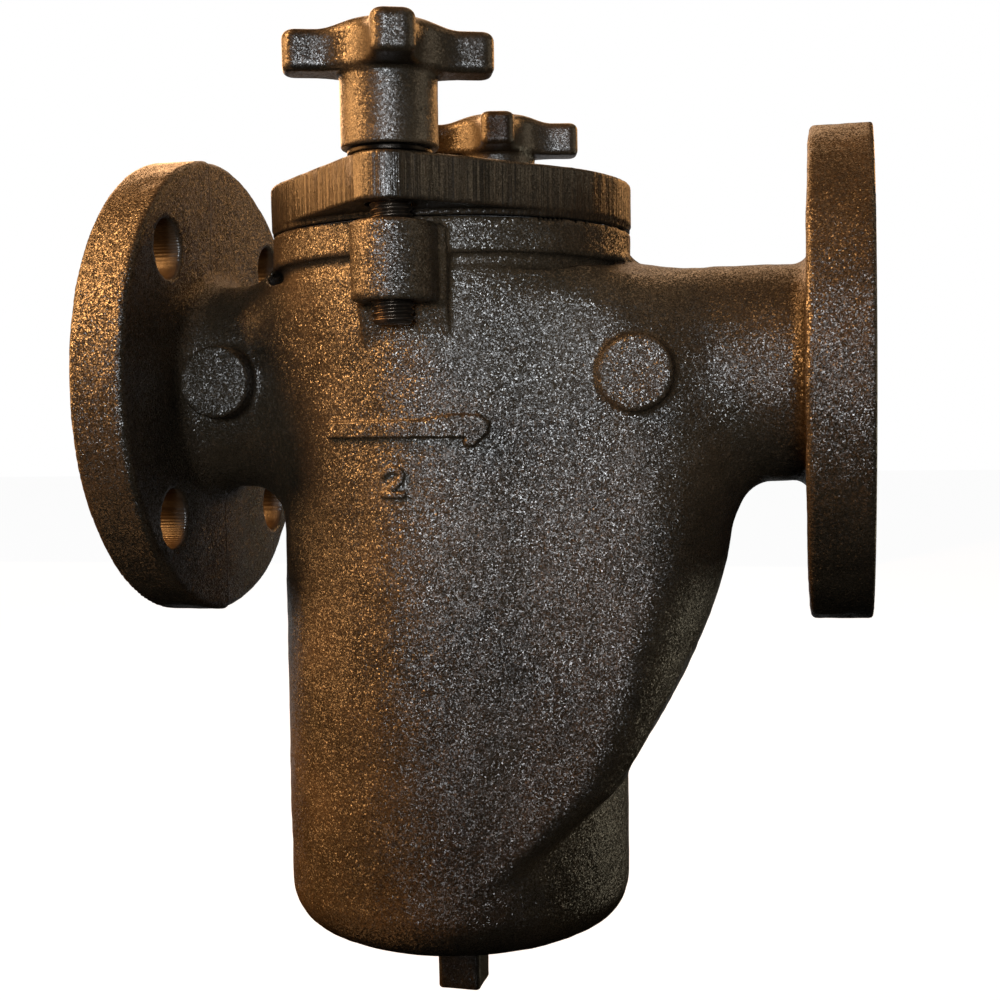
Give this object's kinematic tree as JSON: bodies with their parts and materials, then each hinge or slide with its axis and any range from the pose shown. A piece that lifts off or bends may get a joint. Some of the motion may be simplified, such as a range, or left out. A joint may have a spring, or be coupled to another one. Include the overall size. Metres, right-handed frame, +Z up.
{
  "type": "flanged basket strainer",
  "caption": "Cast-iron flanged pipeline strainer: pot body with a lift-out basket, a cover clamped by hand knobs and a square-headed drain plug.",
  "frame": {"origin": "where the pipe's centre line crosses the pot's upright centre line", "axes": "+X along the pipe in the direction of flow, from the inlet flange to the outlet flange; +Z up along the pot, towards the knobs; +Y away from the side that carries the flow arrow"},
  "size_m": [0.2335, 0.1962, 0.3031],
  "materials": {
    "painted_iron": "sand-cast grain under semi-gloss black-brown paint",
    "dark_steel": "darkened, lightly oiled steel",
    "stainless": "satin stainless",
    "gasket": "matt graphite-faced sheet"
  },
  "bodies": {
    "pot": {"strainer_body": "painted_iron", "cover_gasket": "gasket"},
    "lid": {"cover": "painted_iron"},
    "front_screw_carrier": {"washer_front": "dark_steel"},
    "rear_screw_carrier": {"washer_rear": "dark_steel"},
    "front_screw": {"knob_front": "painted_iron", "stud_front": "dark_steel"},
    "rear_screw": {"knob_rear": "painted_iron", "stud_rear": "dark_steel"},
    "basket": {"basket_rim": "stainless", "basket_screen": "stainless", "basket_liner": "stainless", "basket_bottom": "stainless", "basket_bottom_band": "stainless", "bail_ear_front": "stainless", "bail_ear_rear": "stainless", "bail_rivet_front": "stainless", "bail_rivet_rear": "stainless"},
    "bail": {"basket_bail": "stainless"},
    "plug": {"drain_plug": "painted_iron"}
  },
  "joints": [
    {"name": "cover_lift", "type": "slide", "parent": "pot", "child": "lid", "axis": [0, 0, 1], "range_m": [0, 0.45]},
    {"name": "knob_front_travel", "type": "slide", "parent": "lid", "child": "front_screw_carrier", "axis": [0, 0, 1], "range_m": [0, 0.0294]},
    {"name": "knob_front_turn", "type": "hinge", "parent": "front_screw_carrier", "child": "front_screw", "pos_m": [0, -0.0686, 0.075], "axis": [0, 0, 1], "range_deg": [0, 5400]},
    {"name": "knob_rear_travel", "type": "slide", "parent": "lid", "child": "rear_screw_carrier", "axis": [0, 0, 1], "range_m": [0, 0.0294]},
    {"name": "knob_rear_turn", "type": "hinge", "parent": "rear_screw_carrier", "child": "rear_screw", "pos_m": [0, 0.0686, 0.075], "axis": [0, 0, 1], "range_deg": [0, 5400]},
    {"name": "basket_lift", "type": "slide", "parent": "pot", "child": "basket", "axis": [0, 0, 1], "range_m": [0, 0.225]},
    {"name": "bail_swing", "type": "hinge", "parent": "basket", "child": "bail", "pos_m": [0, 0, 0.012], "axis": [0, 1, 0], "range_deg": [-180, 180]},
    {"name": "drain_plug_out", "type": "slide", "parent": "pot", "child": "plug", "axis": [0, 0, -1], "range_m": [0, 0.03]}
  ],
  "couplings": [
    {"joint": "knob_front_travel", "follows": "knob_front_turn", "m_per_rad": 0.00031099},
    {"joint": "knob_rear_travel", "follows": "knob_rear_turn", "m_per_rad": 0.00031099},
    {"joint": "basket_lift", "follows": "cover_lift", "ratio": 0.5}
  ]
}
